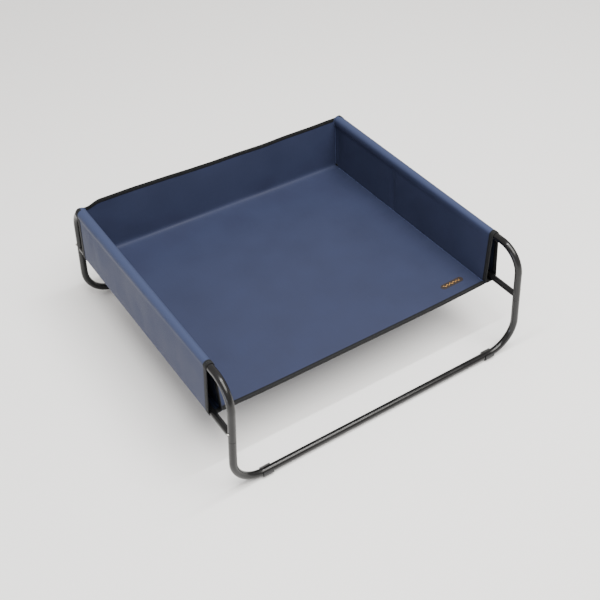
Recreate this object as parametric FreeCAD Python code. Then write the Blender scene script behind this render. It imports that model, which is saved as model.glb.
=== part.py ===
import FreeCAD, Part
import math
import os

# Raised dog bed with a tube frame and a cloth tray with three walls.
# Millimetres. +Z is up, the open front faces -Y, the origin is on the floor under the middle.
# Two upside-down U tubes are the sides. Two U tubes stand on the floor, front and rear, and plug
# into the legs of the side tubes, where a sprung button locks each of the four sockets.

os.makedirs("parts", exist_ok=True)
Vec = FreeCAD.Vector

# ---- Frame tubes -------------------------------------------------------------------------------
TUBE_OD = 19.0
TUBE_WALL = 1.2
RAIL_OD = 16.0
RAIL_WALL = 1.0
SPIGOT_CLEARANCE = 0.2          # between the spigot and the bore that it plugs into, on the radius
SPIGOT_LENGTH = 45.0
SPIGOT_SHOULDER = 1.2           # thickness of the step at the foot of the spigot
JOINT_CHAMFER = 0.5             # the deburred rims that meet at the joint

# ---- Frame layout ------------------------------------------------------------------------------
LEG_SPACING_X = 856.0           # between leg axes, at the height of the floor bars
LEG_SPACING_Y = 834.0
LEAN_DEG = 3.5                  # legs lean in towards the top, pulled by the tight cloth
TOP_RAIL_Z = 316.0
LOWER_RAIL_Z = 178.0
JOINT_Z = 166.0                 # where the legs come apart
BUTTON_Z = 191.0
TOP_BEND_R = 66.0
FLOOR_BEND_R = 78.0

# ---- Clip-on feet ------------------------------------------------------------------------------
FOOT_WALL = 3.2
FOOT_FLAT = 0.5                 # depth of the flat ground off the round underside
FOOT_LENGTH = 28.0
FOOT_INSET = 88.0               # from the leg's axis in to the foot's middle
FOOT_MOUTH_DEG = 110.0          # the opening that snaps over the bar
FOOT_CLEARANCE = 0.05
FOOT_EDGE_R = 0.8

# ---- Snap buttons and their springs ------------------------------------------------------------
BUTTON_R = 3.0
BUTTON_HOLE_CLEARANCE = 0.3
BUTTON_PROUD = 3.5
BUTTON_EDGE_R = 1.2
SPRING_THICK = 0.8
SPRING_WIDTH = 7.0
SPRING_WALL_GAP = 0.25
SPRING_DOWN = 22.0              # from the button's axis down to the spring's bend
SPRING_UP = 8.0                 # from the button's axis up to the end of its leaf
SPRING_BUTTON_GAP = 0.1         # a hair of room, because the two move apart as the leaf bends

# ---- Cloth -------------------------------------------------------------------------------------
CLOTH = 1.2
CLOTH_GAP = 1.5                 # between the cloth and the tubes that it goes round
SEAM_GAP = 0.3                  # between the back wall's ends and the side walls
SLEEVE_WIDTH = 35.0             # the side wall's width at the floor of the bed
FRONT_SETBACK = 90.0            # from the front leg axis back to the cloth
REAR_SETBACK = 43.0             # from the rear leg axis forward to the cloth
BACK_LEAN = 10.0                # how far the back wall's foot is ahead of its top
BACK_TOP_RISE = 10.0            # top edge of the back wall above the top rail's axis
BINDING_WIDTH = 12.0
BINDING_PROUD = 0.6
LABEL_LENGTH = 70.0
LABEL_DEPTH = 18.0
LABEL_THICK = 1.0
LABEL_CORNER_R = 8.0
LABEL_SIDE_INSET = 70.0         # from the right wall to the label's middle
LABEL_FRONT_INSET = 52.0        # from the cloth's front edge to the label's middle

# ---- Sizes that follow -------------------------------------------------------------------------
TUBE_R = TUBE_OD / 2
TUBE_BORE_R = TUBE_R - TUBE_WALL
SPIGOT_R = TUBE_BORE_R - SPIGOT_CLEARANCE
SPIGOT_BORE_R = SPIGOT_R - TUBE_WALL
RAIL_R = RAIL_OD / 2
FOOT_R = TUBE_R + FOOT_WALL
FLOOR_BAR_Z = FOOT_R - FOOT_FLAT
LEAN = math.radians(LEAN_DEG)
LEG_Y = LEG_SPACING_Y / 2
FOOT_X = LEG_SPACING_X / 2 - FOOT_INSET

SIDES = {"left": -1, "right": 1}
ENDS = {"front": -1, "rear": 1}


def leg_x(side, z):
    """X of a leg's axis, or of a rail between two legs, at height z."""
    return side * (LEG_SPACING_X / 2 - (z - FLOOR_BAR_Z) * math.tan(LEAN))


def leg_point(side, y, z):
    return Vec(leg_x(side, z), y, z)


def leg_frame(side, end):
    """A leg's own frame: origin on its axis at the joint, Z up the leg, X across the bed."""
    turn = FreeCAD.Rotation(Vec(0, 1, 0), -side * LEAN_DEG)
    return FreeCAD.Placement(leg_point(side, end * LEG_Y, JOINT_Z), turn)


def up_leg(z):
    """Distance up a leg from the joint to height z."""
    return (z - JOINT_Z) / math.cos(LEAN)


def save(name, shape):
    shape.exportStep("parts/" + name + ".step")
    print(name, "volume", round(shape.Volume), "valid", shape.isValid())


# ---- Tubes -------------------------------------------------------------------------------------
def bent_path(points, bend_r):
    """Straight runs through the points, with each inner corner rounded to bend_r."""
    edges = []
    start = points[0]
    for before, corner, after in zip(points, points[1:], points[2:]):
        to_before = (before - corner).normalize()
        to_after = (after - corner).normalize()
        half_angle = to_before.getAngle(to_after) / 2
        reach = bend_r / math.tan(half_angle)
        tangent_in = corner + to_before * reach
        tangent_out = corner + to_after * reach
        bisector = (to_before + to_after).normalize()
        middle = corner + bisector * (bend_r / math.sin(half_angle) - bend_r)
        edges.append(Part.LineSegment(start, tangent_in).toShape())
        edges.append(Part.Arc(tangent_in, middle, tangent_out).toShape())
        start = tangent_out
    edges.append(Part.LineSegment(start, points[-1]).toShape())
    return Part.Wire(edges)


def rod_along(path, radius):
    start = path.OrderedVertexes[0].Point
    direction = path.OrderedEdges[0].tangentAt(path.OrderedEdges[0].FirstParameter)
    ring = Part.Wire(Part.makeCircle(radius, start, direction))
    return path.makePipeShell([ring], True, True)


def tube_along(path, outer_r, wall):
    return rod_along(path, outer_r).cut(rod_along(path, outer_r - wall))


def rim_groove(side, end):
    """The V-shaped ring that deburring leaves where a leg's two tubes meet."""
    outer = TUBE_R + JOINT_CHAMFER
    ring = [Vec(TUBE_R - JOINT_CHAMFER, 0, 0), Vec(outer, 0, 2 * JOINT_CHAMFER),
            Vec(outer, 0, -2 * JOINT_CHAMFER), Vec(TUBE_R - JOINT_CHAMFER, 0, 0)]
    groove = Part.Face(Part.makePolygon(ring)).revolve(Vec(0, 0, 0), Vec(0, 0, 1), 360)
    groove.Placement = leg_frame(side, end)
    return groove


def button_hole(side, end):
    """The round hole through the outer side of a leg, at the button."""
    hole = Part.makeCylinder(BUTTON_R + BUTTON_HOLE_CLEARANCE, 2 * TUBE_R,
                             Vec(0, 0, up_leg(BUTTON_Z)), Vec(side, 0, 0))
    hole.Placement = leg_frame(side, end)
    return hole


def side_tube(side):
    corners = [leg_point(side, y, z) for y, z in
               ((-LEG_Y, JOINT_Z), (-LEG_Y, TOP_RAIL_Z), (LEG_Y, TOP_RAIL_Z), (LEG_Y, JOINT_Z))]
    tube = tube_along(bent_path(corners, TOP_BEND_R), TUBE_R, TUBE_WALL)
    for end in ENDS.values():
        tube = tube.cut(button_hole(side, end)).cut(rim_groove(side, end))
    return tube


def lower_rail(side):
    """The straight rail between a side's two legs, with its ends shaped to the legs and welded."""
    ends = [leg_point(side, y, LOWER_RAIL_Z) for y in (-LEG_Y, LEG_Y)]
    rail = tube_along(bent_path(ends, 0), RAIL_R, RAIL_WALL)
    for end in ENDS.values():
        leg = Part.makeCylinder(TUBE_R, TOP_RAIL_Z, Vec(0, 0, -JOINT_Z))
        leg.Placement = leg_frame(side, end)
        rail = rail.cut(leg)
    return rail


def spigot():
    """The thinner end of a floor tube, in the leg's frame, with the step that it stands on."""
    ring = Part.makeCylinder(TUBE_R, SPIGOT_SHOULDER, Vec(0, 0, -SPIGOT_SHOULDER))
    plug = Part.makeCylinder(SPIGOT_R, SPIGOT_LENGTH)
    length = SPIGOT_LENGTH + SPIGOT_SHOULDER
    bore = Part.makeCylinder(SPIGOT_BORE_R, length, Vec(0, 0, -SPIGOT_SHOULDER))
    return ring.fuse(plug).cut(bore)


def floor_path(end):
    """The axis of a floor tube: down one leg, along the floor and up the other leg."""
    below_step = JOINT_Z - SPIGOT_SHOULDER * math.cos(LEAN)
    y = end * LEG_Y
    corners = [leg_point(-1, y, below_step), leg_point(-1, y, FLOOR_BAR_Z),
               leg_point(1, y, FLOOR_BAR_Z), leg_point(1, y, below_step)]
    return bent_path(corners, FLOOR_BEND_R)


def floor_tube(end):
    tube = tube_along(floor_path(end), TUBE_R, TUBE_WALL)
    for side in SIDES.values():
        plug = spigot()
        plug.Placement = leg_frame(side, end)
        tube = tube.fuse(plug).cut(button_hole(side, end)).cut(rim_groove(side, end))
    return tube.removeSplitter()


# ---- Feet --------------------------------------------------------------------------------------
def glide_foot(side, end):
    """A plastic C clip that snaps up over the bar, where its bend begins, and is open on top."""
    low_x = side * FOOT_X - FOOT_LENGTH / 2
    centre = Vec(low_x, end * LEG_Y, FLOOR_BAR_Z)
    along = Vec(1, 0, 0)
    clip = Part.makeCylinder(FOOT_R, FOOT_LENGTH, centre, along)
    clip = clip.makeFillet(FOOT_EDGE_R, [e for e in clip.Edges if e.BoundBox.XLength < FOOT_EDGE_R])
    clip = clip.cut(rod_along(floor_path(end), TUBE_R + FOOT_CLEARANCE))
    half_mouth = math.radians(FOOT_MOUTH_DEG / 2)
    reach = 2 * FOOT_R
    across, up = reach * math.sin(half_mouth), reach * math.cos(half_mouth)
    wedge = Part.makePolygon([centre, centre + Vec(0, -across, up), centre + Vec(0, across, up), centre])
    clip = clip.cut(Part.Face(wedge).extrude(along * FOOT_LENGTH))
    under = Part.makeBox(FOOT_LENGTH, 2 * FOOT_R, FOOT_R, Vec(low_x, end * LEG_Y - FOOT_R, -FOOT_R))
    return clip.cut(under)


# ---- Snap buttons ------------------------------------------------------------------------------
SPRING_OUT = math.sqrt(SPIGOT_BORE_R ** 2 - (SPRING_WIDTH / 2) ** 2) - SPRING_WALL_GAP


def snap_button(side, end):
    inner = SPRING_OUT + SPRING_BUTTON_GAP
    length = TUBE_R + BUTTON_PROUD - inner
    axis = Vec(side, 0, 0)
    start = Vec(side * inner, 0, up_leg(BUTTON_Z))
    button = Part.makeCylinder(BUTTON_R, length, start, axis)
    tip = max(button.Edges, key=lambda e: side * e.CenterOfMass.x)
    button = button.makeFillet(BUTTON_EDGE_R, [tip])
    button.Placement = leg_frame(side, end)
    return button


def button_spring(side, end):
    """A hairpin of flat spring steel inside the spigot: one leaf carries the button."""
    height = up_leg(BUTTON_Z)
    low = height - SPRING_DOWN
    high = height + SPRING_UP
    out = SPRING_OUT
    inn = SPRING_OUT - SPRING_THICK
    front = -SPRING_WIDTH / 2

    def at(x, z):
        return Vec(x, front, z)

    outline = [Part.LineSegment(at(out, high), at(out, low)),
               Part.Arc(at(out, low), at(0, low - out), at(-out, low)),
               Part.LineSegment(at(-out, low), at(-out, high)),
               Part.LineSegment(at(-out, high), at(-inn, high)),
               Part.LineSegment(at(-inn, high), at(-inn, low)),
               Part.Arc(at(-inn, low), at(0, low - inn), at(inn, low)),
               Part.LineSegment(at(inn, low), at(inn, high)),
               Part.LineSegment(at(inn, high), at(out, high))]
    wire = Part.Wire([piece.toShape() for piece in outline])
    spring = Part.Face(wire).extrude(Vec(0, SPRING_WIDTH, 0))
    spring.Placement = leg_frame(side, end)
    return spring


# ---- Cloth -------------------------------------------------------------------------------------
FLOOR_TOP = LOWER_RAIL_Z - RAIL_R - CLOTH_GAP
FRONT_EDGE = -LEG_Y + FRONT_SETBACK
REAR_EDGE = LEG_Y - REAR_SETBACK
TOP_X = abs(leg_x(1, TOP_RAIL_Z))
CAP_IN = TUBE_R + CLOTH_GAP
CAP_OUT = CAP_IN + CLOTH
OUTER_X = abs(leg_x(1, LOWER_RAIL_Z)) + RAIL_R + CLOTH_GAP + CLOTH
INNER_X = OUTER_X - SLEEVE_WIDTH
BACK_TOP = TOP_RAIL_Z + BACK_TOP_RISE


def prism(points, y_from, y_to):
    """A solid with this outline in X and Z, from y_from to y_to. A pair of points is a corner,
    and three numbers are a corner reached by a half circle over the given top."""
    edges = []
    last = points[-1][:2]
    for point in points:
        a, b = Vec(last[0], y_from, last[1]), Vec(point[0], y_from, point[1])
        if len(point) == 3:
            edges.append(Part.Arc(a, Vec((a.x + b.x) / 2, y_from, point[2]), b).toShape())
        else:
            edges.append(Part.LineSegment(a, b).toShape())
        last = point[:2]
    return Part.Face(Part.Wire(edges)).extrude(Vec(0, y_to - y_from, 0))


def outer_panel(side, y_from, y_to, proud=0.0):
    """The outer wall of a side, from the bed's floor up and over the top rail."""
    cap_out, cap_in, foot = CAP_OUT + proud, CAP_IN - proud, FLOOR_TOP + proud
    return prism([(side * (OUTER_X + proud), foot),
                  (side * (TOP_X + cap_out), TOP_RAIL_Z),
                  (side * (TOP_X - cap_out), TOP_RAIL_Z, TOP_RAIL_Z + cap_out),
                  (side * (TOP_X - cap_in), TOP_RAIL_Z),
                  (side * (TOP_X + cap_in), TOP_RAIL_Z, TOP_RAIL_Z + cap_in),
                  (side * (OUTER_X - CLOTH - proud), foot)], y_from, y_to)


def inner_panel(side, y_from, y_to, proud=0.0):
    """The inner wall of a side, from the top rail down to the bed's floor."""
    foot = FLOOR_TOP + proud
    return prism([(side * (TOP_X - CAP_OUT - proud), TOP_RAIL_Z),
                  (side * (INNER_X - proud), foot),
                  (side * (INNER_X + CLOTH + proud), foot),
                  (side * (TOP_X - CAP_IN + proud), TOP_RAIL_Z)], y_from, y_to)


def sleeve_binding(side, y_from):
    """The black tape round one open end of a side sleeve."""
    y_to = y_from + BINDING_WIDTH
    loop = outer_panel(side, y_from, y_to, BINDING_PROUD)
    return loop.fuse(inner_panel(side, y_from, y_to, BINDING_PROUD)).removeSplitter()


def floor_slab(y_from, y_to, proud=0.0):
    return Part.makeBox(2 * OUTER_X, y_to - y_from, CLOTH + 2 * proud,
                        Vec(-OUTER_X, y_from, FLOOR_TOP - CLOTH - proud))


def back_y(z):
    """Y of the back wall's rear face at height z."""
    share = (z - FLOOR_TOP) / (BACK_TOP - FLOOR_TOP)
    return REAR_EDGE - BACK_LEAN * (1 - share)


def back_slab(z_from, z_to, proud=0.0):
    """The back wall, or its top binding, between the rear ends of the two side walls."""
    half = [(INNER_X, FLOOR_TOP), (TOP_X - CAP_OUT, TOP_RAIL_Z), (TOP_X - CAP_OUT, BACK_TOP)]
    half = [(x - BINDING_PROUD - SEAM_GAP, z) for x, z in half]
    across = prism(half + [(-x, z) for x, z in reversed(half)], 0, LEG_Y)
    corners = [Vec(-LEG_SPACING_X / 2, back_y(z) + dy, z) for z, dy in
               ((z_from, proud), (z_to, proud), (z_to, -CLOTH - proud), (z_from, -CLOTH - proud))]
    slab = Part.Face(Part.makePolygon(corners + corners[:1])).extrude(Vec(LEG_SPACING_X, 0, 0))
    return across.common(slab)


def label_patch():
    middle_x = INNER_X - LABEL_SIDE_INSET
    middle_y = FRONT_EDGE + LABEL_FRONT_INSET
    patch = Part.makeBox(LABEL_LENGTH, LABEL_DEPTH, LABEL_THICK,
                         Vec(middle_x - LABEL_LENGTH / 2, middle_y - LABEL_DEPTH / 2, FLOOR_TOP))
    upright = [e for e in patch.Edges if e.BoundBox.XLength + e.BoundBox.YLength < LABEL_THICK]
    return patch.makeFillet(LABEL_CORNER_R, upright)


# ---- Every piece, one file each ----------------------------------------------------------------
for side_name, side in SIDES.items():
    save("side_tube_" + side_name, side_tube(side))
    save("lower_rail_" + side_name, lower_rail(side))
    panel_ends = (FRONT_EDGE + BINDING_WIDTH, REAR_EDGE - BINDING_WIDTH)
    save("outer_panel_" + side_name, outer_panel(side, *panel_ends))
    save("inner_panel_" + side_name, inner_panel(side, *panel_ends))
    save("front_sleeve_binding_" + side_name, sleeve_binding(side, FRONT_EDGE))
    save("rear_sleeve_binding_" + side_name, sleeve_binding(side, REAR_EDGE - BINDING_WIDTH))
    for end_name, end in ENDS.items():
        corner = end_name + "_" + side_name
        save("glide_foot_" + corner, glide_foot(side, end))
        save("snap_button_" + corner, snap_button(side, end))
        save("button_spring_" + corner, button_spring(side, end))

for end_name, end in ENDS.items():
    save("floor_tube_" + end_name, floor_tube(end))

save("floor_panel", floor_slab(FRONT_EDGE + BINDING_WIDTH, back_y(FLOOR_TOP)))
save("front_edge_binding", floor_slab(FRONT_EDGE, FRONT_EDGE + BINDING_WIDTH, BINDING_PROUD))
save("back_panel", back_slab(FLOOR_TOP, BACK_TOP - BINDING_WIDTH))
save("back_top_binding", back_slab(BACK_TOP - BINDING_WIDTH, BACK_TOP, BINDING_PROUD))
save("label_patch", label_patch())
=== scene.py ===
# %% [markdown]
# # A raised dog bed in a bent-tube frame
# Two upside-down U tubes are the sides of the bed and two more U tubes stand on the floor. The cloth
# is one taut tray: a floor, two hollow side walls that the frame runs through, and a back wall.
# The steel and plastic pieces come ready made from the frame file, so this lesson gives them their
# finish, makes the cloth by simulation, sews tape and stitches on it, and sets up a small studio.

import math

import bmesh
import bpy
from mathutils import Matrix, Vector, noise


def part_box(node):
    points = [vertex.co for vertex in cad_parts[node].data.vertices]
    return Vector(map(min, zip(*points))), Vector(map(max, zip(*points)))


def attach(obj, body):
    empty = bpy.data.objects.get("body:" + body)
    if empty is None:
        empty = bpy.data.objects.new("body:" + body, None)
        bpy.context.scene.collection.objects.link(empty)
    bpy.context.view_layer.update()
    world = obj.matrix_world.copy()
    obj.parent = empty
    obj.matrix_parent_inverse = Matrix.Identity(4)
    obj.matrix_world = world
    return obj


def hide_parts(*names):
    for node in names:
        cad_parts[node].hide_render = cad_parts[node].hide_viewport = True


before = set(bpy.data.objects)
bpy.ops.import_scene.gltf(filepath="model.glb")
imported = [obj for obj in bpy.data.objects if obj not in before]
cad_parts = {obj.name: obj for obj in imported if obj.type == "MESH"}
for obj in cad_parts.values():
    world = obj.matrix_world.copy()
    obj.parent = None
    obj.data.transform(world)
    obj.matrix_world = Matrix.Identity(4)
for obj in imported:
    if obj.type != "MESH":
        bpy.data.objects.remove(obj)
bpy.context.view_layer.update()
MM = 0.001
SIDES = {"left": -1, "right": 1}

# %% [markdown]
# ## The camera
# The camera comes first, so that every later picture can be compared. It looks down at the bed from
# the front left. Its place is given by how far round, how high and how far away it is from the point
# that it looks at, which is easier to understand and to change than three coordinates.

# %% Set up the camera
AIM = Vector((59.29, -94.86, 112.20)) * MM
DISTANCE = 2562.2 * MM
AZIMUTH, ELEVATION, ROLL = (math.radians(angle) for angle in (33.514, 40.644, -1.016))
LENS = 57.857
SIDE_SHIFT = -0.05


def into_scene(made):
    bpy.context.scene.collection.objects.link(made)
    return made


back = Vector((-math.sin(AZIMUTH) * math.cos(ELEVATION), -math.cos(AZIMUTH) * math.cos(ELEVATION),
               math.sin(ELEVATION)))
camera = into_scene(bpy.data.objects.new("camera", bpy.data.cameras.new("camera")))
camera.data.lens = LENS
camera.data.shift_x = SIDE_SHIFT
camera.location = AIM + back * DISTANCE
level = back.to_track_quat("Z", "Y").to_matrix()
camera.rotation_euler = (level @ Matrix.Rotation(ROLL, 3, "Z")).to_euler()
bpy.context.scene.camera = camera
print("camera at", [round(c, 3) for c in camera.location])

# %% [markdown]
# ## Where the cloth goes
# Cloth has no size of its own on this bed: it is stretched over the tubes. So every place below is
# read from the frame: the tube that a side wall hangs from, the rail in the bottom of its sleeve,
# the floor, the back wall, and the width of the tape on the raw edges.

# %% Places and sizes read from the frame
low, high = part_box("floor_tube_front")
TUBE_R = (high.y - low.y) / 2
low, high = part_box("side_tube_right")
TOP_Z = high.z - TUBE_R
low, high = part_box("outer_panel_right")
TOP_X = low.x + (high.z - TOP_Z)
low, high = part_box("lower_rail_right")
RAIL = Vector(((low.x + high.x) / 2, 0, (low.z + high.z) / 2))
RAIL_R = (high.z - low.z) / 2
FLOOR_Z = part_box("floor_panel")[1].z
FOOT_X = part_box("inner_panel_right")[0].x
FRONT_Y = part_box("front_sleeve_binding_right")[0].y
REAR_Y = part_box("rear_sleeve_binding_right")[1].y
BACK_LEAN = REAR_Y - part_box("floor_panel")[1].y
low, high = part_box("front_edge_binding")
TAPE = high.y - low.y
CLOTH = 0.8 * MM  # thickness
SNUG = 0.9 * MM  # from the steel to the middle of the cloth that lies on it
NEAR = MM / 10
print("tube radius %.1f mm at x %.1f, z %.1f mm" % (TUBE_R / MM, TOP_X / MM, TOP_Z / MM))
print("cloth from y %.0f to %.0f mm, floor at %.1f mm" % (FRONT_Y / MM, REAR_Y / MM, FLOOR_Z / MM))

# %% [markdown]
# ## The tray's outline
# Cut across, the tray is a line: from the middle of the floor out to the foot of the wall, up the
# wall, over the tube, down the outside, round the rail and back to the foot. Drawing half of it and
# mirroring keeps both sides equal. Straight stretches are extruded vertex by vertex and the rounds
# are spun about the tube and the rail, so the cloth lies on them exactly.

# %% Draw half of the tray's outline
GRID = 8 * MM
TUCK = math.radians(28)  # how far the cloth runs on under the tube on its outer side
TUBE_STEPS = 9
RAIL_STEPS = 4

tray = bmesh.new()
across = tray.verts.layers.float.new("across")
rearward = tray.verts.layers.float.new("rearward")
rim = tray.verts.layers.int.new("rim")
seam = tray.verts.layers.int.new("seam")
held = tray.verts.layers.int.new("held")
zone = tray.faces.layers.int.new("zone")
taped = tray.faces.layers.int.new("taped")
uv_map = tray.loops.layers.uv.new("cloth")


def run_to(bm, vert, goal):
    """Extrudes a chain of edges about one grid step long from vert to the goal."""
    start = vert.co.copy()
    steps = max(1, round((goal - start).length / GRID))
    for k in range(1, steps + 1):
        vert = bmesh.ops.extrude_vert_indiv(bm, verts=[vert])["verts"][0]
        vert.co = start.lerp(goal, k / steps)
    return vert


def bend_round(bm, vert, centre, angle, steps):
    """Spins a chain of edges from vert about an axis along Y through the centre."""
    made = bmesh.ops.spin(bm, geom=[vert], cent=centre, axis=(0, 1, 0), angle=angle, steps=steps)
    return next(item for item in made["geom_last"] if isinstance(item, bmesh.types.BMVert))


def chain_from(vert):
    """The vertices of an open chain in order, starting at one end."""
    chain = [vert]
    ahead = [vert.link_edges[0].other_vert(vert)]
    while ahead:
        chain.append(ahead[0])
        ahead = [edge.other_vert(chain[-1]) for edge in chain[-1].link_edges
                 if edge.other_vert(chain[-1]) is not chain[-2]]
    return chain


FOOT = Vector((FOOT_X, FRONT_Y, FLOOR_Z))
tube_at = Vector((TOP_X, FRONT_Y, TOP_Z))
rail_at = Vector((RAIL.x, FRONT_Y, RAIL.z))
first = tray.verts.new((0, FRONT_Y, FLOOR_Z))
at_foot = run_to(tray, first, FOOT)
here = run_to(tray, at_foot, tube_at - Vector((TUBE_R + SNUG, 0, 0)))
here = bend_round(tray, here, tube_at, math.pi + TUCK, TUBE_STEPS)
here = run_to(tray, here, rail_at + Vector((RAIL_R + SNUG, 0, 0)))
here = bend_round(tray, here, rail_at, math.pi / 2, RAIL_STEPS)
run_to(tray, here, FOOT)
outline = chain_from(first)
for before, vert in zip(outline, outline[1:]):
    vert[across] = before[across] + (vert.co - before.co).length
foot_index = outline.index(at_foot)
top_index = max(range(len(outline)), key=lambda k: outline[k].co.z)
climb = [vert.co.copy() for vert in outline[foot_index:top_index + 1]]
TOP_ACROSS = outline[top_index][across]

# %% [markdown]
# ## From outline to tray
# The outline is extruded to the rear in rows. The first and the last row are as wide as the tape,
# so the tape can later be cut from the same mesh and fit it exactly. Each vertex remembers how far
# along the cloth it is in both directions: that becomes the UV map, in metres of real cloth, which
# the weave and the stitches follow.

# %% Extrude the outline to the rear
LENGTH = REAR_Y - FRONT_Y
RIM = {"front": 1, "rear": 2, "top": 3}
ZONE = {"floor": 1, "side": 2, "back": 3}


def write_uv(faces):
    for face in faces:
        for loop in face.loops:
            loop[uv_map].uv = (loop.vert[across], loop.vert[rearward])


def of_kind(made, kind):
    return [item for item in made["geom"] if isinstance(item, kind)]


def extrude_row(edges, shift):
    """Extrudes the edges into a row of faces. Returns its new verts, its outer edges and its faces."""
    made = bmesh.ops.extrude_edge_only(tray, edges=edges)
    verts = of_kind(made, bmesh.types.BMVert)
    bmesh.ops.translate(tray, verts=verts, vec=shift)
    fresh = set(verts)
    outer = [edge for edge in of_kind(made, bmesh.types.BMEdge) if fresh.issuperset(edge.verts)]
    return verts, outer, of_kind(made, bmesh.types.BMFace)


rows = round((LENGTH - 2 * TAPE) / GRID)
stations = [0] + [TAPE + (LENGTH - 2 * TAPE) * k / rows for k in range(rows + 1)] + [LENGTH]
for vert in tray.verts:
    vert[rim] = RIM["front"]
edges = list(tray.edges)
for near, far in zip(stations, stations[1:]):
    verts, edges, faces = extrude_row(edges, (0, far - near, 0))
    for vert in verts:
        vert[rearward] = far
        vert[rim] = RIM["rear"] if far == LENGTH else 0
for face in tray.faces:
    middle = face.calc_center_median()
    on_floor = middle.x < FOOT_X and middle.z < FLOOR_Z + NEAR
    face[zone] = ZONE["floor"] if on_floor else ZONE["side"]
    if middle.y < FRONT_Y + TAPE:
        face[taped] = RIM["front"]
    elif middle.y > REAR_Y - TAPE and not on_floor:
        face[taped] = RIM["rear"]
write_uv(tray.faces)
print("half a tray with", len(tray.faces), "faces")

# %% [markdown]
# ## The back wall
# On the real bed the back wall is the same cloth as the floor, folded up and sewn to the ends of
# the side walls. So the rear edge of the floor is extruded up row by row, each row as high and as
# wide as the side wall is there, and the rows then weld to the side walls by themselves.

# %% Fold up the back wall
edges = [edge for edge in tray.edges
         if all(abs(v.co.y - REAR_Y) < NEAR and v.co.x < FOOT_X + NEAR and v.co.z < FLOOR_Z + NEAR
                for v in edge.verts)]
rises = []
for below, above in zip(climb, climb[1:]):
    verts, edges, faces = extrude_row(edges, (0, 0, above.z - below.z))
    rises.append(above.z - FLOOR_Z)
    for vert in verts:
        vert.co.x *= above.x / below.x
        vert[rearward] = LENGTH + rises[-1]
        vert[rim] = RIM["top"] if above is climb[-1] else 0
    for face in faces:
        face[zone] = ZONE["back"]
        face[taped] = RIM["top"] if above.z > TOP_Z + NEAR else 0
    write_uv(faces)
bmesh.ops.remove_doubles(tray, verts=tray.verts, dist=NEAR)
bmesh.ops.mirror(tray, geom=tray.verts[:] + tray.edges[:] + tray.faces[:], axis="X", merge_dist=NEAR)

# %% [markdown]
# ## Mark the seams and the steel
# Later steps need to know which points lie on a tube or a rail, and which lie on a seam. This is
# easy now, while the tray is still square. The right foot of the back wall then moves forward,
# because the wall leans back there, and the inner half of the right side wall moves with it. Over
# the top tube the sleeve fits snugly at the front and stands a little off the steel at the rear.

# %% Mark seams and steel, and lean the back wall
SEAM_FOOT = 1
SEAM_CORNER = 2
LOOSE = 4.5 * MM  # how far the sleeve stands off the top tube at the rear
OUTER_X = RAIL.x + RAIL_R + SNUG


def on_steel(p):
    round_tube = p.z > TOP_Z - TUBE_R and abs(abs(p.x) - TOP_X) < TUBE_R + 2 * SNUG
    round_rail = abs(p.x) > RAIL.x - NEAR and p.z < RAIL.z + NEAR
    return round_tube or round_rail


for vert in tray.verts:
    p = vert.co
    zones = {face[zone] for face in vert.link_faces}
    if abs(abs(p.x) - FOOT_X) < NEAR and abs(p.z - FLOOR_Z) < NEAR:
        vert[seam] |= SEAM_FOOT
    if zones.issuperset((ZONE["side"], ZONE["back"])):
        vert[seam] |= SEAM_CORNER
    vert[held] = ZONE["side"] in zones and on_steel(p)
for vert in tray.verts:
    share = (vert.co.y - FRONT_Y) / LENGTH
    height = (vert.co.z - FLOOR_Z) / (TOP_Z - FLOOR_Z)
    inner = min(1.0, (OUTER_X - abs(vert.co.x)) / (OUTER_X - FOOT_X))
    rightward = (1 + vert.co.x / FOOT_X) / 2
    vert.co.y += BACK_LEAN * rightward * (height - 1) * share * inner
    if vert[held] and vert.co.z > TOP_Z - TUBE_R:
        tube = Vector((math.copysign(TOP_X, vert.co.x), vert.co.y, TOP_Z - TUBE_R / 2))
        vert.co += (vert.co - tube).normalized() * LOOSE * share
print(sum(vert[held] for vert in tray.verts), "points lie on steel")

# %% [markdown]
# ## Slack and sag
# A stretched sheet is never quite flat. The floor hangs a little, most at its free front edge, the
# walls are a touch wider than the gap they span, and sewing gathers the cloth along the seams. This
# slack goes into the mesh before the simulation, which then finds where the cloth really settles.

# %% Give the cloth its slack
SAG_FRONT = 2 * MM
SAG_REAR = 1.5 * MM
SAG_ENDS = 0.2  # share of the length over which the sag fades out towards the back wall
BACK_RISE = 11 * MM
RISE_START = 40 * MM
SEAM_BAND = 12 * MM
FOLD = 26 * MM
FOLD_PASSES = 2


def ripple(point, lengths, seed):
    """Smooth noise from -1 to 1 with waves of about the given lengths in metres along X, Y and Z."""
    return noise.noise(Vector([c / w + seed for c, w in zip(point, lengths)]))


def fade(distance, reach):
    """1 at no distance, 0 from the reach on, and smooth between."""
    share = min(1.0, max(0.0, distance / reach))
    return 1 - share * share * (3 - 2 * share)


def wall_height(p):
    """How high up the walls a place is, from 0 at the floor to 1 at the top tube."""
    return (p.z - FLOOR_Z) / (TOP_Z - FLOOR_Z)


def wall_seed(p):
    """The noise seed of the wall layer that a place is on."""
    return (11 if abs(p.x) > TOP_X else 1) + (40 if p.x > 0 else 0)


def floor_slack(p):
    share = (p.y - FRONT_Y) / LENGTH
    hang = SAG_FRONT + (SAG_REAR - SAG_FRONT) * share
    hang *= 1 - fade(1 - share, SAG_ENDS)
    bowl = 1 - (abs(p.x) / FOOT_X) ** 5
    from_wall = FOOT_X - abs(p.x)
    broad = 1.8 * MM * ripple(p, (0.21, 0.26, 1.0), 3.1)
    gather = 0.9 * MM * ripple(p, (0.5, 0.034, 1.0), 7.7) * fade(from_wall, 55 * MM)
    return (broad + gather) * min(1.0, from_wall / SEAM_BAND) - hang * bowl


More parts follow.
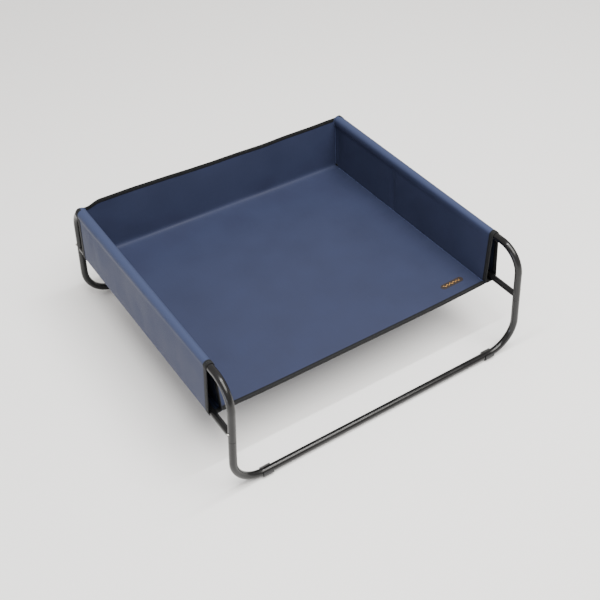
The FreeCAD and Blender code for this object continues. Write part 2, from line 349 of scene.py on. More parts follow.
def side_slack(p):
    height = wall_height(p)
    seed = wall_seed(p)
    middle = math.sin(math.pi * min(1.0, max(0.0, height)))
    creases = 3.2 * MM * ripple(p, (1.0, 0.085, 0.5), seed)
    creases += 2.2 * MM * ripple(p, (1.0, 0.19, 0.2), seed + 5)
    gather = 1.8 * MM * ripple(p, (1.0, 0.03, 0.4), seed + 9) * fade(height, 0.35)
    return (creases + gather) * middle


def back_slack(p):
    inwards = 1 - (abs(p.x) / FOOT_X) ** 4
    creases = 2.0 * MM * ripple(p, (0.11, 1.0, 0.5), 21.0)
    creases += 2.4 * MM * ripple(p, (0.3, 1.0, 0.25), 26.0)
    return creases * min(1.0, wall_height(p) * 3) * inwards


for vert in tray.verts:
    p = vert.co.copy()
    zones = {face[zone] for face in vert.link_faces}
    if vert[held]:
        continue
    if zones == {ZONE["floor"]}:
        vert.co.z += floor_slack(p)
    elif zones == {ZONE["back"]}:
        vert.co.y += back_slack(p)
        from_left = p.x + FOOT_X
        rise = BACK_RISE * (1 - fade(from_left, RISE_START))
        rise *= fade(from_left - RISE_START, 1.1 * FOOT_X)
        vert.co.z += rise * wall_height(p)
    elif zones == {ZONE["side"]}:
        vert.co.x += math.copysign(side_slack(p), p.x)
folded = [v for v in tray.verts
          if abs(v.co.z - FLOOR_Z) < FOLD and v.co.y > REAR_Y - BACK_LEAN - FOLD and not v[seam]
          and ZONE["side"] not in {face[zone] for face in v.link_faces}]
for _ in range(FOLD_PASSES):
    bmesh.ops.smooth_vert(tray, verts=folded, factor=0.5,
                          use_axis_x=False, use_axis_y=True, use_axis_z=True)
print("slack given to", len(tray.verts), "points,", len(folded), "of them in the rear fold")

# %% [markdown]
# ## Let it settle
# Blender's cloth solver moves the sheet to where its threads and its weight balance. The points
# that lie on the steel are pinned. The sheet is stiff against stretching, as woven polyester is,
# and gravity is turned well down, because the solver weighs each vertex and not each gram.

# %% Simulate the cloth
SETTLE_FRAMES = 20
STRETCH_STIFFNESS = 60
GRAVITY_SHARE = 0.003


def new_piece(name, bm):
    mesh = bpy.data.meshes.new(name)
    bm.to_mesh(mesh)
    bm.free()
    return into_scene(bpy.data.objects.new(name, mesh))


def settle(sheet):
    """Runs the cloth solver on the sheet, keeps the shape it ends in and returns how far it moved."""
    pins = sheet.vertex_groups.new(name="on_steel")
    marks = sheet.data.attributes["held"].data
    pins.add([k for k, mark in enumerate(marks) if mark.value], 1.0, "REPLACE")
    cloth = sheet.modifiers.new("settle", "CLOTH")
    cloth.settings.quality = 7
    cloth.settings.mass = 0.3
    cloth.settings.tension_stiffness = STRETCH_STIFFNESS
    cloth.settings.compression_stiffness = STRETCH_STIFFNESS
    cloth.settings.shear_stiffness = 25
    cloth.settings.bending_stiffness = 2
    cloth.settings.tension_damping = 15
    cloth.settings.compression_damping = 15
    cloth.settings.air_damping = 4
    cloth.settings.vertex_group_mass = pins.name
    cloth.settings.effector_weights.gravity = GRAVITY_SHARE
    cloth.point_cache.frame_end = SETTLE_FRAMES
    for step in range(1, SETTLE_FRAMES + 1):
        bpy.context.scene.frame_set(step)
    depsgraph = bpy.context.evaluated_depsgraph_get()
    settled = bpy.data.meshes.new_from_object(sheet.evaluated_get(depsgraph))
    sheet.modifiers.remove(cloth)
    bpy.context.scene.frame_set(1)
    moved = max((a.co - b.co).length for a, b in zip(settled.vertices, sheet.data.vertices))
    sheet.data = settled
    return moved


tray_sheet = new_piece("tray", tray)
print("the cloth settled by up to %.1f mm" % (settle(tray_sheet) / MM))

# %% [markdown]
# ## Creases that stay
# The bed was folded flat in its box, and its seams pull on the cloth. The solver has no memory of
# either, and it evens such marks out, so they are pressed in afterwards as smooth noise: broad soft
# creases everywhere, short puckers along the foot seams, and on the inner right wall one upright
# crease and a gathered band at the rear corner. They fade towards the front, where the tape is.

# %% Press in the creases
SMOOTH_END = 45 * MM
PACKING = 1.7 * MM
PUCKER = 1.3 * MM
PUCKER_REACH = 70 * MM
CREASE = 3.5 * MM
CREASE_WIDTH = 9 * MM
CREASE_SLANT = 22 * MM
CREASE_Y = 95 * MM
CORNER_GATHER = 4 * MM
CORNER_REACH = 45 * MM
BACK_BAND = 30 * MM
CREASED_WALL = wall_seed(FOOT)


def side_push(p, height):
    """How far a place on a side wall is pressed away from the bed's middle."""
    seed = wall_seed(p)
    slanted = p + Vector((0, 0.5 * p.z, 0))
    push = PACKING * ripple(slanted, (1.0, 0.07, 0.12), seed)
    push += PUCKER * ripple(p, (1.0, 0.016, 0.3), seed + 3) * fade(height, 0.4)
    if seed == CREASED_WALL:
        from_crease = p.y - CREASE_Y + CREASE_SLANT * (1 - height)
        push -= CREASE * math.exp(-(from_crease / CREASE_WIDTH) ** 2)
        push += CORNER_GATHER * fade(REAR_Y - p.y, CORNER_REACH)
    return push * math.sqrt(math.sin(math.pi * height))


def floor_push(p):
    from_wall = FOOT_X - abs(p.x)
    push = PUCKER * ripple(p, (0.3, 0.018, 1.0), 5.2) * fade(from_wall, PUCKER_REACH)
    push += PACKING * 0.5 * ripple(p, (0.12, 0.16, 1.0), 9.4)
    return push * min(1.0, from_wall / SEAM_BAND)


def back_push(p, height):
    inwards = min(1.0, (FOOT_X - abs(p.x)) / BACK_BAND)
    return PACKING * ripple(p, (0.08, 1.0, 0.14), 17.6) * math.sqrt(height) * inwards


def press_creases(sheet):
    """Moves every loose point of the sheet by its wall's or its floor's creases."""
    bm = bmesh.new()
    bm.from_mesh(sheet.data)
    zones, helds = bm.faces.layers.int["zone"], bm.verts.layers.int["held"]
    loose = [vert for vert in bm.verts if not vert[helds]]
    for vert in loose:
        p = vert.co.copy()
        kinds = {face[zones] for face in vert.link_faces}
        inside = 1 - fade(p.y - FRONT_Y, SMOOTH_END)
        height = min(1.0, max(0.0, wall_height(p)))
        if kinds == {ZONE["side"]}:
            vert.co.x += math.copysign(side_push(p, height) * inside, p.x)
        elif kinds == {ZONE["floor"]}:
            vert.co.z += floor_push(p) * inside
        elif kinds == {ZONE["back"]}:
            vert.co.y += back_push(p, height)
    bm.to_mesh(sheet.data)
    bm.free()
    return len(loose)


print("creases pressed into", press_creases(tray_sheet), "points")

# %% [markdown]
# ## Cut the cloth from the settled tray
# The settled tray holds every cloth piece in its place, so each one just keeps its own faces: the
# floor with the back wall, and the two hollow side walls. A subdivision smooths the facets and a
# Solidify modifier gives the cloth its thickness, with its coated wrong side as a second material.

# %% Cut out the cloth


def cut_out(name, wanted):
    """A new piece with the tray's faces that the test wants, given their zone, tape and middle."""
    bm = bmesh.new()
    bm.from_mesh(tray_sheet.data)
    zones, tapes = bm.faces.layers.int["zone"], bm.faces.layers.int["taped"]
    unwanted = [f for f in bm.faces if not wanted(f[zones], f[tapes], f.calc_center_median())]
    bmesh.ops.delete(bm, geom=unwanted, context="FACES")
    bmesh.ops.recalc_face_normals(bm, faces=bm.faces)
    highest = max(bm.faces, key=lambda f: abs(f.normal.z) * (f.calc_center_median().z + 1))
    if highest.normal.z < 0:
        bmesh.ops.reverse_faces(bm, faces=bm.faces)
    return new_piece(name, bm)


def crease_foot(piece):
    """Keeps the fold along the wall's foot sharp when the piece is subdivided."""
    seams = piece.data.attributes["seam"].data
    sharp = piece.data.attributes.new("crease_edge", "FLOAT", "EDGE")
    for edge in piece.data.edges:
        on_foot = all(seams[v].value & SEAM_FOOT for v in edge.vertices)
        sharp.data[edge.index].value = 1.0 if on_foot else 0.0


def keep_corners(piece):
    """Keeps the points where the foot seam meets a corner seam from being rounded off."""
    corner = SEAM_FOOT | SEAM_CORNER
    marks = [mark.value & corner == corner for mark in piece.data.attributes["seam"].data]
    sharp = piece.data.attributes.new("crease_vert", "FLOAT", "POINT")
    sharp.data.foreach_set("value", [float(mark) for mark in marks])
    return sum(marks)


def finish_cloth(piece, thickness, offset=0.0):
    """Smooths the cloth and gives it a thickness. The offset is 1 for all of it outwards."""
    smooth = piece.modifiers.new("smooth", "SUBSURF")
    smooth.levels = smooth.render_levels = 1
    thick = piece.modifiers.new("thickness", "SOLIDIFY")
    thick.thickness = thickness
    thick.offset = offset
    thick.material_offset = 1
    piece.vertex_groups.clear()
    for polygon in piece.data.polygons:
        polygon.use_smooth = True


bed_cloth = cut_out("floor_and_back_cloth", lambda z, t, p: z in (ZONE["floor"], ZONE["back"]))
print("corners kept on the bed's cloth:", keep_corners(bed_cloth))
finish_cloth(bed_cloth, CLOTH)
side_cloth = {}
for name, side in SIDES.items():
    side_cloth[name] = cut_out("side_wall_cloth_" + name,
                               lambda z, t, p: z == ZONE["side"] and p.x * side > 0)
    crease_foot(side_cloth[name])
    keep_corners(side_cloth[name])
    finish_cloth(side_cloth[name], CLOTH)
print("cut", bed_cloth.name, "and", [piece.name for piece in side_cloth.values()])

# %% [markdown]
# ## Tape on the raw edges
# A woven tape is folded over every raw edge and sewn through. It covers one row of the mesh, stands
# proud of the cloth on both sides, and reaches a little past its edge. The row is cut in two along
# its middle, which gives the line that the stitches will follow.

# %% Make the tapes
TAPE_THICK = 1.8 * MM
TAPE_OUTWARD = 0.4  # Solidify's offset: 0 is half inwards and half outwards, 1 is all outwards
PAST_EDGE = 0.9 * MM
PUSH = {"front": Vector((0, -1, 0)), "rear": Vector((0, 1, 0)), "top": Vector((0, 0, 1))}


def make_tape(name, end, wanted):
    """The tape over the wanted faces, with its free edge pushed past the cloth's."""
    piece = cut_out(name, lambda z, t, p: t == RIM[end] and wanted(z, p))
    bm = bmesh.new()
    bm.from_mesh(piece.data)
    rims = bm.verts.layers.int["rim"]
    for vert in bm.verts:
        if vert[rims] == RIM[end]:
            vert.co += PUSH[end] * PAST_EDGE
    if end != "top":
        over = [e for e in bm.edges if abs(e.verts[0].co.y - e.verts[1].co.y) > TAPE / 2]
        bmesh.ops.subdivide_edges(bm, edges=over, cuts=1)
    bm.to_mesh(piece.data)
    bm.free()
    finish_cloth(piece, TAPE_THICK, TAPE_OUTWARD)
    return piece


tapes = {
    "front_edge_binding": make_tape("front_edge_tape", "front", lambda z, p: z == ZONE["floor"]),
    "back_top_binding": make_tape("back_top_tape", "top", lambda z, p: True),
}
for name, side in SIDES.items():
    tapes["front_sleeve_binding_" + name] = make_tape(
        "front_mouth_tape_" + name, "front", lambda z, p: z == ZONE["side"] and p.x * side > 0)
    tapes["rear_sleeve_binding_" + name] = make_tape(
        "rear_mouth_tape_" + name, "rear",
        lambda z, p: z == ZONE["side"] and p.x * side > (FOOT_X if p.z < RAIL.z else TOP_X))
bpy.data.objects.remove(tray_sheet)
print("tapes:", [tape.name for tape in tapes.values()])

# %% [markdown]
# ## Seams at the foot and in the rear corners
# Where the inner wall is sewn to the floor and to the back wall, the seam allowance makes a thin
# rolled edge. It is a small ring of vertices, extruded from point to point along the seam.

# %% Make the rolled seams
SEAM_R = 1.1 * MM
SEAM_SIDES = 8


def seam_points(piece, flag, axis):
    """The piece's points that carry the seam flag, in order along an axis."""
    marks = piece.data.attributes["seam"].data
    points = [v.co.copy() for v in piece.data.vertices if marks[v.index].value & flag]
    return sorted(points, key=lambda p: p[axis])


def roll_along(bm, points, radius):
    """A closed roll of the given radius along the points."""
    turn = (points[-1] - points[0]).to_track_quat("Z", "Y").to_matrix().to_4x4()
    ring = bmesh.ops.create_circle(bm, segments=SEAM_SIDES, radius=radius,
                                   matrix=Matrix.Translation(points[0]) @ turn)["verts"]
    edges = list({edge for vert in ring for edge in vert.link_edges})
    first_ring = list(edges)
    for before, after in zip(points, points[1:]):
        made = bmesh.ops.extrude_edge_only(bm, edges=edges)
        verts = of_kind(made, bmesh.types.BMVert)
        bmesh.ops.translate(bm, verts=verts, vec=after - before)
        fresh = set(verts)
        edges = [edge for edge in of_kind(made, bmesh.types.BMEdge) if fresh.issuperset(edge.verts)]
    bmesh.ops.edgeloop_fill(bm, edges=first_ring)
    bmesh.ops.edgeloop_fill(bm, edges=edges)


seams = {}
for name, side in SIDES.items():
    roll = bmesh.new()
    roll_along(roll, seam_points(side_cloth[name], SEAM_FOOT, 1), SEAM_R)
    roll_along(roll, seam_points(side_cloth[name], SEAM_CORNER, 2), SEAM_R)
    bmesh.ops.recalc_face_normals(roll, faces=roll.faces)
    seams[name] = new_piece("inner_seam_" + name, roll)
    for polygon in seams[name].data.polygons:
        polygon.use_smooth = len(polygon.vertices) == 4
print("seams:", [piece.name for piece in seams.values()])

# %% [markdown]
# ## Stitches
# A lockstitch shows as short rounded dashes of thread. Each dash is a tiny sphere of a few faces,
# stretched along the row and sunk halfway into the tape, and the rows follow the middle of each
# tape, on its face and on its wrong side.

# %% Sew the stitch rows
STITCH = 3.0 * MM
STITCH_GAP = 1.2 * MM
THREAD = 0.55 * MM


def row_points(piece, wanted, order):
    """The piece's points that the test wants, in order, each with its normal."""
    chosen = [v for v in piece.data.vertices if wanted(v)]
    return [(v.co.copy(), v.normal.copy()) for v in sorted(chosen, key=order)]


def make_dash():
    """The mesh of one stitch, lying along X."""
    bm = bmesh.new()
    bmesh.ops.create_uvsphere(bm, u_segments=6, v_segments=4, radius=1,
                              matrix=Matrix.Diagonal((STITCH / 2, THREAD / 2, THREAD / 2, 1)))
    for face in bm.faces:
        face.smooth = True
    mesh = bpy.data.meshes.new("dash")
    bm.to_mesh(mesh)
    bm.free()
    return mesh


DASH = make_dash()


def sew(bm, row, lift):
    """Lays stitches along a row of points, lifted along their normals. Returns how many."""
    count = 0
    carried = 0.0
    for (a, normal_a), (b, normal_b) in zip(row, row[1:]):
        length = (b - a).length
        if length > 3 * GRID:
            continue
        while carried < length:
            share = carried / length
            normal = normal_a.lerp(normal_b, share).normalized()
            along = (b - a).normalized()
            aside = normal.cross(along).normalized()
            place = Matrix((along, aside, along.cross(aside))).transposed().to_4x4()
            place.translation = a.lerp(b, share) + normal * lift
            dash = DASH.copy()
            dash.transform(place)
            bm.from_mesh(dash)
            bpy.data.meshes.remove(dash)
            carried += STITCH + STITCH_GAP
            count += 1
        carried -= length
    return count


def sewn_tape(name, tape, middle, order):
    """The stitches on both faces of a tape, along its points that are at the middle."""
    measures = tape.data.attributes["rearward"].data
    row = row_points(tape, lambda v: abs(measures[v.index].value - middle) < MM, order)
    thread = bmesh.new()
    outward = TAPE_THICK * (1 + TAPE_OUTWARD) / 2
    count = sew(thread, row, outward) + sew(thread, row, outward - TAPE_THICK)
    print(name, count, "stitches")
    return new_piece(name, thread)


def around(tape):
    """Sorts a mouth tape's points by how far round the sleeve they are."""
    measures = tape.data.attributes["across"].data
    return lambda v: measures[v.index].value


stitches = {
    "front_edge_binding": sewn_tape(
        "front_edge_stitches", tapes["front_edge_binding"], TAPE / 2, lambda v: v.co.x),
    "back_top_binding": sewn_tape(
        "back_top_stitches", tapes["back_top_binding"], LENGTH + rises[-3], lambda v: v.co.x),
}
for node, tape in tapes.items():
    if "sleeve" in node:
        middle = TAPE / 2 if node.startswith("front") else LENGTH - TAPE / 2
        stitches[node] = sewn_tape(tape.name.replace("tape", "stitches"), tape, middle, around(tape))

# %% [markdown]
# ## The label
# A small woven patch is sewn near the front right corner. It is a pill-shaped piece of brown cloth
# with a corded rim and a plain gold zigzag, and it carries no name. It starts as a circle whose
# halves are moved apart, is cut into strips, and is then laid on the sagging cloth. The zigzag is
# four rows of stitches side by side.

# %% Make the label patch
LABEL_RIM = 1.8 * MM
LABEL_THICK = 0.9 * MM
LABEL_CUT = 6 * MM
LABEL_SIDES = 32
ZIGZAG_PITCH = 5 * MM
ZIGZAG_STRANDS = (-1.5, -0.5, 0.5, 1.5)
label_low, label_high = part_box("label_patch")
label_middle = (label_low + label_high) / 2
label_half = (label_high - label_low) / 2


def cloth_height(x, y):
    """Height of the bed cloth's upper side under a place."""
    solid = bed_cloth.evaluated_get(bpy.context.evaluated_depsgraph_get())
    found, spot, *_ = solid.ray_cast(Vector((x, y, TOP_Z)), Vector((0, 0, -1)))
    return spot.z if found else FLOOR_Z


def lay_on_cloth(bm, lift):
    for vert in bm.verts:
        vert.co += Vector((label_middle.x, label_middle.y, 0))
        vert.co.z += cloth_height(vert.co.x, vert.co.y) + lift


patch = bmesh.new()
half_turn = Matrix.Rotation(math.pi / LABEL_SIDES, 4, "Z")
bmesh.ops.create_circle(patch, cap_ends=True, segments=LABEL_SIDES, radius=label_half.y,
                        matrix=half_turn)
for vert in patch.verts:
    vert.co.x += math.copysign(label_half.x - label_half.y, vert.co.x)
inset = bmesh.ops.inset_region(patch, faces=patch.faces[:], thickness=LABEL_RIM,
                               use_even_offset=True)
for face in inset["faces"]:
    face.material_index = 1
for k in range(-5, 6):
    bmesh.ops.bisect_plane(patch, geom=patch.verts[:] + patch.edges[:] + patch.faces[:],
                           dist=NEAR / 10, plane_co=(k * LABEL_CUT, 0, 0), plane_no=(1, 0, 0))
raised = bmesh.ops.extrude_face_region(patch, geom=patch.faces[:])
bmesh.ops.translate(patch, verts=of_kind(raised, bmesh.types.BMVert), vec=(0, 0, LABEL_THICK))
rim_top = [face for face in patch.faces
           if face.material_index == 1 and face.calc_center_median().z > LABEL_THICK * 0.9]
cord = bmesh.ops.extrude_face_region(patch, geom=rim_top)
bmesh.ops.translate(patch, verts=of_kind(cord, bmesh.types.BMVert), vec=(0, 0, LABEL_THICK / 2))
bmesh.ops.delete(patch, geom=rim_top, context="FACES")
bmesh.ops.recalc_face_normals(patch, faces=patch.faces)
lay_on_cloth(patch, 0)
label = new_piece("label_patch_woven", patch)
soften = label.modifiers.new("soften", "BEVEL")
soften.width = 0.3 * MM
soften.segments = 2
soften.limit_method = "ANGLE"

thread = bmesh.new()
reach = label_half.x - label_half.y
count = round(2 * reach / ZIGZAG_PITCH)
for strand in ZIGZAG_STRANDS:
    corners = []
    for k in range(count + 1):
        swing = (-1) ** k * label_half.y * 0.3
        place = Vector((-reach + 2 * reach * k / count, swing + strand * THREAD, 0))
        corners.append((place, Vector((0, 0, 1))))
    sew(thread, corners, LABEL_THICK)
lay_on_cloth(thread, 0)
label_thread = new_piece("label_zigzag", thread)
print("label of", len(label.data.polygons), "faces")

# %% [markdown]
# ## A helper for materials
# A material is a small graph of nodes. One function adds a node, sets its own options, and fills
# its inputs with numbers or with links from other nodes. Another turns the hex colours that a
# paint chart gives into the linear numbers that a renderer calculates with.

# %% Material helpers


def linear(hex_colour):
    """The linear RGBA of an sRGB colour such as #3c4a78."""
    parts = [int(hex_colour[k:k + 2], 16) / 255 for k in (1, 3, 5)]
    return [c / 12.92 if c <= 0.04045 else ((c + 0.055) / 1.055) ** 2.4 for c in parts] + [1.0]


def add(material, kind, inputs=None, output=None, **options):
    """Adds a node with its options. Inputs are numbers or sockets. Returns one output, if any."""
    node = material.node_tree.nodes.new("ShaderNode" + kind)
    for name, value in options.items():
        setattr(node, name, value)
    for name, value in (inputs or {}).items():
        socket = next(s for s in node.inputs if s.name == name and not s.is_unavailable)
        if isinstance(value, bpy.types.NodeSocket):
            material.node_tree.links.new(value, socket)
        else:
            socket.default_value = value
    if isinstance(output, str):
        return node.outputs[output]
    return next((s for s in node.outputs if not s.is_unavailable), None)


def new_material(name):
    material = bpy.data.materials.new(name)
    material.use_nodes = True
    material.node_tree.nodes.clear()
    return material


def surface(material, inputs):
    """Ends the graph: a Principled shader with these inputs, and the output node."""
    shader = add(material, "BsdfPrincipled", inputs)
    add(material, "OutputMaterial", {"Surface": shader})
    return material


def mix_colour(material, factor, colour_a, colour_b):
    return add(material, "Mix", {"Factor": factor, "A": colour_a, "B": colour_b}, data_type="RGBA")


def spread(material, value, low, high):
    """Maps a noise value to a range."""
    return add(material, "MapRange", {"Value": value, "From Min": 0.3, "From Max": 0.7,
                                      "To Min": low, "To Max": high})


# %% [markdown]
# ## Coated oxford cloth
# The cloth is heavy oxford-weave polyester with a waterproof coating on its wrong side. Threads that
# go over and under each other make a fine checkered relief, thicker places in the yarn make faint
# streaks both ways, and the dye varies a little over a hand's width. The real threads are about half
# a millimetre apart, too fine to show from here, so the weave is drawn about three times as coarse.
# On the side walls a paler strip is painted along the cloth over the top tube: a painted highlight.

# %% Make the cloth materials
THREAD_PITCH = 1.5 * MM
SLUB_LENGTH = 55 * MM
SLUB_WIDTH = 2.2 * MM
DYE_PATCH = 110 * MM
# The painted highlight over the tube: full inside the core, fading out by the reach.
HIGHLIGHT_CORE = 6 * MM
HIGHLIGHT_REACH = 20 * MM
YARN_SHARE = 0.35


def stretched_noise(material, vector, size_u, size_v, detail=2.0):
    """Noise whose blotches have the given size in metres along the two directions of the cloth."""
    scaled = add(material, "VectorMath", {"Vector": vector}, operation="MULTIPLY")
    scaled.node.inputs[1].default_value = (1 / size_u, 1 / size_v, 1)
    return add(material, "TexNoise", {"Vector": scaled, "Scale": 1.0, "Detail": detail}, "Fac")


def weave_height(material, uv, pitch):
    """The relief of a plain weave: warp over weft in every other square."""
    angle = add(material, "VectorMath", {"Vector": uv, "Scale": math.pi / pitch}, operation="SCALE")
    split = add(material, "SeparateXYZ", {"Vector": angle}).node
    waves = [add(material, "Math", {"Value": split.outputs[k]}, operation="SINE") for k in (0, 1)]
    heights = [add(material, "Math", {"Value": wave}, operation="ABSOLUTE") for wave in waves]
    product = add(material, "Math", {"Value": waves[0]}, operation="MULTIPLY")
    material.node_tree.links.new(waves[1], product.node.inputs[1])
    over = add(material, "Math", {"Value": product}, operation="GREATER_THAN")
    over.node.inputs[1].default_value = 0.0
    return add(material, "Mix", {"Factor": over, "A": heights[1], "B": heights[0]}, data_type="FLOAT")


def painted_highlight(material, uv, colour, highlight_colour):
    """The colour, turning into a paler painted highlight where the cloth is pulled over the tube."""
    across_cloth = add(material, "SeparateXYZ", {"Vector": uv}, "X")
    away = add(material, "Math", {"Value": across_cloth}, operation="SUBTRACT")
    away.node.inputs[1].default_value = TOP_ACROSS
    away = add(material, "Math", {"Value": away}, operation="ABSOLUTE")
    share = add(material, "MapRange", {"Value": away, "From Min": HIGHLIGHT_CORE, "From Max": HIGHLIGHT_REACH,
                                       "To Min": 1.0, "To Max": 0.0}, interpolation_type="SMOOTHSTEP")
    return mix_colour(material, share, colour, linear(highlight_colour))


def oxford_cloth(name, pale, deep, roughness, sheen, tube_highlight=None):
    """Oxford cloth whose dye varies between two colours. A paler colour, if given, is painted over the
    tube as a highlight.
    """
    material = new_material(name)
    uv = add(material, "UVMap", uv_map="cloth")
    dye = stretched_noise(material, uv, DYE_PATCH, DYE_PATCH, 3.0)
    weft = stretched_noise(material, uv, SLUB_LENGTH, SLUB_WIDTH)
    warp = stretched_noise(material, uv, SLUB_WIDTH, SLUB_LENGTH)
    yarn = add(material, "Math", {"Value": weft}, operation="ADD")
    material.node_tree.links.new(warp, yarn.node.inputs[1])
    mixed = add(material, "Math", {"Value": yarn}, operation="MULTIPLY_ADD")
    mixed.node.inputs[1].default_value = YARN_SHARE
    material.node_tree.links.new(dye, mixed.node.inputs[2])
    share = add(material, "MapRange", {"Value": mixed, "From Min": 0.6, "From Max": 1.1})
    height = weave_height(material, uv, THREAD_PITCH)
    colour = mix_colour(material, share, linear(deep), linear(pale))
    if tube_highlight:
        colour = painted_highlight(material, uv, colour, tube_highlight)
    bump = add(material, "Bump", {"Height": height, "Strength": 0.35, "Distance": 0.15 * MM})
    slubs = add(material, "Bump", {"Height": yarn, "Strength": 0.25, "Distance": 0.3 * MM,
                                   "Normal": bump})
    return surface(material, {
        "Base Color": colour, "Normal": slubs, "Roughness": spread(material, dye, *roughness),
        "Sheen Weight": sheen, "Sheen Roughness": 0.45, "Sheen Tint": linear("#b9c4dc"),
        "Specular IOR Level": 0.3})


cloth_face = oxford_cloth("oxford polyester, face", "#262d47", "#232941", (0.62, 0.72), 0.03)
cloth_back = oxford_cloth("oxford polyester, coated wrong side", "#1b2133", "#161b2a",
                          (0.40, 0.50), 0.02)
# The paler #2f3854 is a painted highlight along the cloth over the top tube.
wall_face = oxford_cloth("oxford polyester, rubbed over the tube", "#262d47", "#232941",
                         (0.60, 0.70), 0.03, "#2f3854")
for piece, face_cloth in [(bed_cloth, cloth_face)] + [(wall, wall_face) for wall in side_cloth.values()]:
    piece.data.materials.append(face_cloth)
    piece.data.materials.append(cloth_back)
print("cloth materials:", cloth_face.name, "and", cloth_back.name)

# %% [markdown]
# ## Woven tape, thread and label
# The edge tape is black polypropylene grosgrain, whose thick cross threads make ribs across the
# tape. The ribs are read from the UV map, so they move with the cloth. Real ones are under a
# millimetre apart, and are drawn a little coarser. The thread is a bonded polyester twist, and the
# label is damask: smooth, dense and slightly lustrous.

# %% Make the tape, thread and label materials
RIB_PITCH = 1.4 * MM
FUZZ = 1.2 * MM


def grosgrain(name, pale, deep):
    material = new_material(name)
    uv = add(material, "UVMap", uv_map="cloth")
    angle = add(material, "VectorMath", {"Vector": uv, "Scale": math.pi / RIB_PITCH}, operation="SCALE")
    ribs = add(material, "SeparateXYZ", {"Vector": angle}, "X")
    ribs = add(material, "Math", {"Value": ribs}, operation="SINE")
    ribs = add(material, "Math", {"Value": ribs}, operation="ABSOLUTE")
    lint = stretched_noise(material, uv, 9 * MM, 5 * MM, 4.0)
    colour = mix_colour(material, spread(material, lint, 0, 1), linear(deep), linear(pale))
    bump = add(material, "Bump", {"Height": ribs, "Strength": 0.5, "Distance": 0.25 * MM})
    return surface(material, {"Base Color": colour, "Normal": bump, "Specular IOR Level": 0.25,
                              "Roughness": spread(material, lint, 0.66, 0.8)})


def spun_thread(name, pale, deep, roughness):
    material = new_material(name)
    place = add(material, "TexCoord", output="Object")
    fuzz = add(material, "TexNoise", {"Vector": place, "Scale": 1 / FUZZ, "Detail": 3.0}, "Fac")
    colour = mix_colour(material, spread(material, fuzz, 0, 1), linear(deep), linear(pale))
    bump = add(material, "Bump", {"Height": fuzz, "Strength": 0.4, "Distance": 0.1 * MM})
    return surface(material, {"Base Color": colour, "Normal": bump, "Roughness": roughness,
                              "Sheen Weight": 0.2})


edge_tape = grosgrain("polypropylene grosgrain tape", "#17181a", "#0e0f10")
black_thread = spun_thread("bonded polyester thread, black", "#2c2d31", "#1a1b1e", 0.5)
navy_thread = spun_thread("folded oxford selvedge", "#3b4870", "#2e3a60", 0.66)
gold_thread = spun_thread("rayon thread, gold", "#e0ac4e", "#c08a34", 0.38)
rust_thread = spun_thread("rayon thread, rust", "#5a2a12", "#42200e", 0.42)
label_ground = spun_thread("damask label cloth, brown", "#21110a", "#180c07", 0.5)
for tape in tapes.values():
    tape.data.materials.append(edge_tape)
    tape.data.materials.append(edge_tape)
for piece in stitches.values():
    piece.data.materials.append(black_thread)
for piece in seams.values():
    piece.data.materials.append(navy_thread)
label.data.materials.append(label_ground)
label.data.materials.append(rust_thread)
label_thread.data.materials.append(gold_thread)
print("tape, thread and label have their materials")

# %% [markdown]
# ## Powder-coated steel
# The tubes are mild steel with gloss black powder coat. Powder melts into a film that is never quite
# level: its orange peel has waves one to three millimetres long, which break up the edges of every
# reflection. Handling leaves faint dull patches.

# %% Finish the steel tubes
PEEL = 2.2 * MM
HANDLING = 60 * MM


def powder_coat(name, pale, deep):
    material = new_material(name)
    place = add(material, "TexCoord", output="Object")
    peel = add(material, "TexNoise", {"Vector": place, "Scale": 1 / PEEL, "Detail": 1.0}, "Fac")
    dull = add(material, "TexNoise", {"Vector": place, "Scale": 1 / HANDLING, "Detail": 4.0}, "Fac")
    colour = mix_colour(material, spread(material, dull, 0, 1), linear(deep), linear(pale))
    bump = add(material, "Bump", {"Height": peel, "Strength": 0.12, "Distance": 0.12 * MM})
    return surface(material, {
        "Base Color": colour, "Normal": bump, "Roughness": spread(material, dull, 0.16, 0.27),
        "Specular IOR Level": 0.38})


gloss_black = powder_coat("powder-coated steel, gloss black", "#151516", "#0b0b0c")

# %% [markdown]
# ## Moulded feet, steel buttons and their springs
# The feet are injection-moulded polypropylene with a spark-eroded mould texture. The buttons are
# zinc-plated steel, turned on a lathe, and the hairpins inside are blued spring strip.

# %% Finish the feet, buttons and springs
SPARK = 0.7 * MM
SCUFF = 9 * MM


def moulded_plastic(name, pale, deep):
    material = new_material(name)
    place = add(material, "TexCoord", output="Object")
    spark = add(material, "TexNoise", {"Vector": place, "Scale": 1 / SPARK, "Detail": 3.0}, "Fac")
    scuff = add(material, "TexNoise", {"Vector": place, "Scale": 1 / SCUFF, "Detail": 5.0}, "Fac")
    colour = mix_colour(material, spread(material, scuff, 0, 1), linear(deep), linear(pale))
    bump = add(material, "Bump", {"Height": spark, "Strength": 0.25, "Distance": 0.06 * MM})
    return surface(material, {"Base Color": colour, "Normal": bump, "IOR": 1.49,
                              "Roughness": spread(material, scuff, 0.38, 0.52)})


def bare_steel(name, pale, deep, grain, roughness):
    material = new_material(name)
    place = add(material, "TexCoord", output="Object")
    lines = add(material, "TexNoise", {"Vector": place, "Scale": 1 / grain, "Detail": 4.0}, "Fac")
    colour = mix_colour(material, spread(material, lines, 0, 1), linear(deep), linear(pale))
    bump = add(material, "Bump", {"Height": lines, "Strength": 0.1, "Distance": 0.03 * MM})
    return surface(material, {"Base Color": colour, "Normal": bump, "Metallic": 1.0,
                              "Roughness": spread(material, lines, *roughness)})


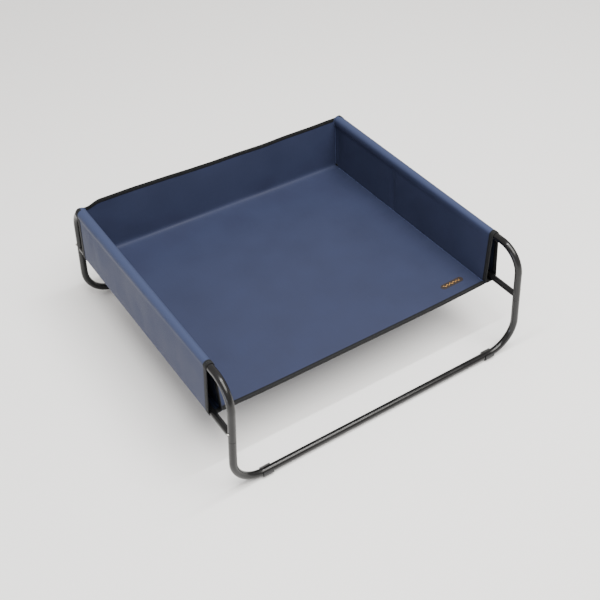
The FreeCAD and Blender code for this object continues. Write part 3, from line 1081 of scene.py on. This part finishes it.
finishes = {
    "side_tube": gloss_black,
    "floor_tube": gloss_black,
    "lower_rail": gloss_black,
    "glide_foot": moulded_plastic("moulded polypropylene, black", "#1e1f21", "#131415"),
    "snap_button": bare_steel("zinc-plated steel, turned", "#c9c8c4", "#a9a8a4", 0.5 * MM,
                              (0.2, 0.32)),
    "button_spring": bare_steel("blued spring steel", "#4a4d55", "#2e3138", 0.4 * MM,
                                (0.28, 0.4)),
}
for node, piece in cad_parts.items():
    for start, material in finishes.items():
        if node.startswith(start):
            piece.material_slots[0].material = material
print("finished the frame's own pieces")

# %% [markdown]
# ## The studio
# A plain pale sweep, a broad overhead softbox a little to the front right, a narrow strip that draws
# the bright lines on the tubes, and a low panel on the left that lights the outer wall.

# %% Build the studio
SWEEP = 9.0  # half the width of the sweep, in metres
ROOM = 0.85
PAPER_DENSITY = 300.0  # grains per metre


def softbox(name, place, target, size_x, size_y, watts, colour):
    data = bpy.data.lights.new(name, "AREA")
    data.shape = "RECTANGLE"
    data.size = size_x
    data.size_y = size_y
    data.energy = watts
    data.color = linear(colour)[:3]
    lamp = into_scene(bpy.data.objects.new(name, data))
    lamp.location = place
    lamp.rotation_euler = (Vector(place) - Vector(target)).to_track_quat("Z", "Y").to_euler()
    return lamp


sweep = bmesh.new()
bmesh.ops.create_grid(sweep, x_segments=2, y_segments=2, size=SWEEP)
floor = new_piece("studio_floor", sweep)
paper = new_material("matte paper")
place = add(paper, "TexCoord", output="Object")
grain = add(paper, "TexNoise", {"Vector": place, "Scale": PAPER_DENSITY}, "Fac")
tone = mix_colour(paper, spread(paper, grain, 0, 1), linear("#f4f4f4"), linear("#f7f7f7"))
floor.data.materials.append(surface(paper, {"Base Color": tone, "Roughness": 0.9}))

softbox("overhead", (0.6, -2.8, 6.0), (0, 0, 0), 5.2, 4.4, 700, "#fffdf8")
softbox("strip", (0.0, -0.4, 2.6), (0, 0, 0.1), 2.4, 0.10, 45, "#ffffff")
softbox("low_left", (-2.6, -0.6, 0.22), (0, 0, 0.2), 1.6, 0.4, 15, "#e4eaff")

room = bpy.data.worlds.new("studio_room")
room.use_nodes = True
background = room.node_tree.nodes["Background"]
background.inputs["Color"].default_value = linear("#faf6f2")
background.inputs["Strength"].default_value = ROOM
bpy.context.scene.world = room
print("studio of", len(bpy.data.lights), "lights")

# %% [markdown]
# ## Hang every piece on the bed's body
# Every new piece rides on the bed's fixed body, because only the snap buttons move. The cloth pieces
# stand for the plain solids of the frame file, which are hidden.


def belongs(piece, slot, *nodes):
    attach(piece, "root")
    if nodes:
        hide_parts(*nodes)


belongs(bed_cloth, "bed_cloth", "floor_panel", "back_panel")
for node, tape in tapes.items():
    belongs(tape, "edge_tape", node)
    belongs(stitches[node], "edge_tape")
for name in SIDES:
    belongs(side_cloth[name], "bed_cloth", "inner_panel_" + name, "outer_panel_" + name)
    belongs(seams[name], "bed_cloth")
belongs(label, "label_patch", "label_patch")
belongs(label_thread, "label_patch")
